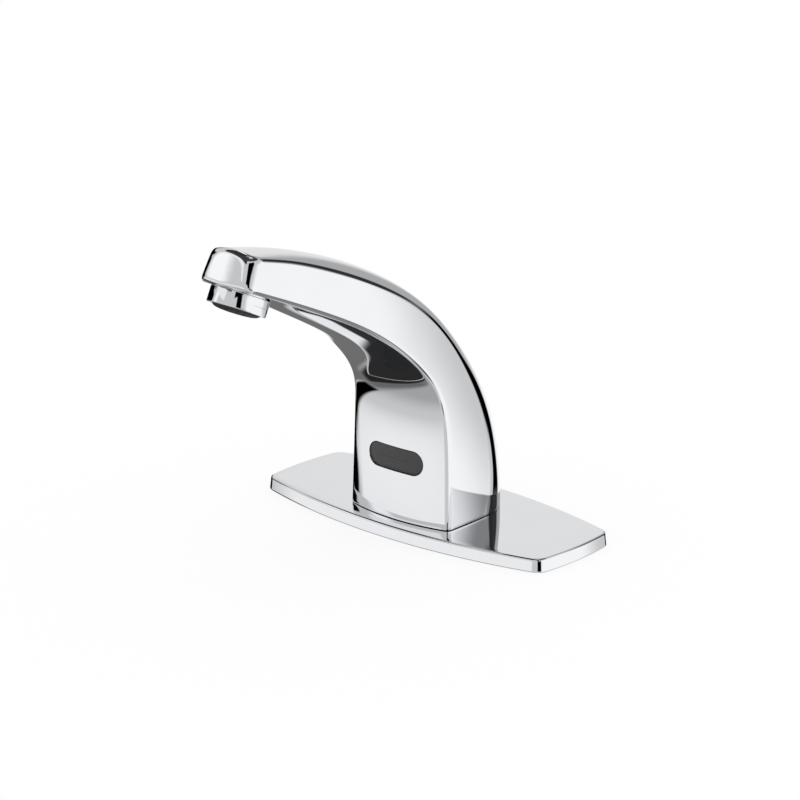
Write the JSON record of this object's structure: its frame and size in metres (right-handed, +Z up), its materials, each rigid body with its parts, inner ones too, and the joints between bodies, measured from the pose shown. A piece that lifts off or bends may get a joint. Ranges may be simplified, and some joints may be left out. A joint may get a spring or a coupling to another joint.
{
  "type": "sensor tap",
  "caption": "Deck-mounted automatic basin tap with a curved tapering spout, a sensor window in its foot and an oblong cover plate.",
  "frame": {"origin": "centre of the deck hole on the deck's top face, which is also the cover plate's underside", "axes": "+Z up, -Y the way the spout reaches towards the user, +X to the user's right"},
  "size_m": [0.16, 0.1633, 0.1878],
  "materials": {
    "chrome": "polished chrome plate",
    "black_rubber": "matt moulded rubber",
    "brass": "turned and milled brass",
    "stainless": "bright stainless steel",
    "white_plastic": "moulded acetal",
    "black_plastic": "moulded glass-filled plastic",
    "grey_plastic": "moulded plastic",
    "enamelled_wire": "enamelled copper wire",
    "zinc_steel": "zinc-plated steel strip",
    "copper_tube": "drawn copper tube",
    "dark_lens": "polished infrared-clear plastic",
    "circuit_board": "solder-masked board",
    "clear_blue": "clear epoxy",
    "red_plastic": "tinted epoxy",
    "cable_sheath": "smooth cable sheath"
  },
  "bodies": {
    "tap": {"spout_body": "chrome", "cover_plate": "chrome", "deck_gasket": "black_rubber", "foot_gasket": "black_rubber", "base_insert": "brass", "base_screws": "stainless", "locating_pins": "stainless", "cable_grommet": "black_rubber", "inlet_shank": "brass", "rubber_washer": "black_rubber", "steel_washer": "stainless", "lock_nut": "brass", "inlet_filter": "white_plastic", "check_cage": "white_plastic", "check_o_ring": "black_rubber", "check_spring": "stainless", "valve_body": "brass", "inlet_o_ring": "black_rubber", "valve_mount_screws": "stainless", "diaphragm": "black_rubber", "valve_bonnet": "black_plastic", "valve_screws": "stainless", "armature_tube": "stainless", "plunger_spring": "stainless", "fixed_core": "stainless", "coil_bobbin": "black_plastic", "coil_winding": "enamelled_wire", "coil_yoke": "zinc_steel", "coil_nut": "stainless", "outlet_elbow": "brass", "outlet_tube": "copper_tube", "tube_o_rings": "black_rubber", "sensor_lens": "dark_lens", "lens_gasket": "black_rubber", "sensor_case": "black_plastic", "sensor_cover": "black_plastic", "sensor_board": "circuit_board", "ir_emitter": "clear_blue", "ir_receiver": "black_plastic", "status_led": "red_plastic", "sensor_screws": "stainless", "sensor_cable": "cable_sheath", "coil_lead": "cable_sheath", "aerator_housing": "chrome", "aerator_gasket": "black_rubber", "aerator_insert": "grey_plastic", "aerator_screen": "stainless"},
    "plunger": {"plunger": "stainless", "plunger_seal": "black_rubber"},
    "diaphragm_core": {"diaphragm_core": "white_plastic", "seat_washer": "black_rubber"},
    "check_poppet": {"check_poppet": "white_plastic"}
  },
  "joints": [
    {"name": "plunger_lift", "type": "slide", "parent": "tap", "child": "plunger", "axis": [0, 0, 1], "range_m": [0, 0.002], "stiffness_N_per_m": 300, "springref_m": -0.003, "deforming": ["plunger_spring"]},
    {"name": "diaphragm_lift", "type": "slide", "parent": "tap", "child": "diaphragm_core", "axis": [0, 0, 1], "range_m": [0, 0.0015]},
    {"name": "check_lift", "type": "slide", "parent": "tap", "child": "check_poppet", "axis": [0, 0, 1], "range_m": [0, 0.003], "stiffness_N_per_m": 150, "springref_m": -0.002, "deforming": ["check_spring"]}
  ],
  "couplings": [
    {"joint": "diaphragm_lift", "follows": "plunger_lift", "ratio": 0.75}
  ]
}
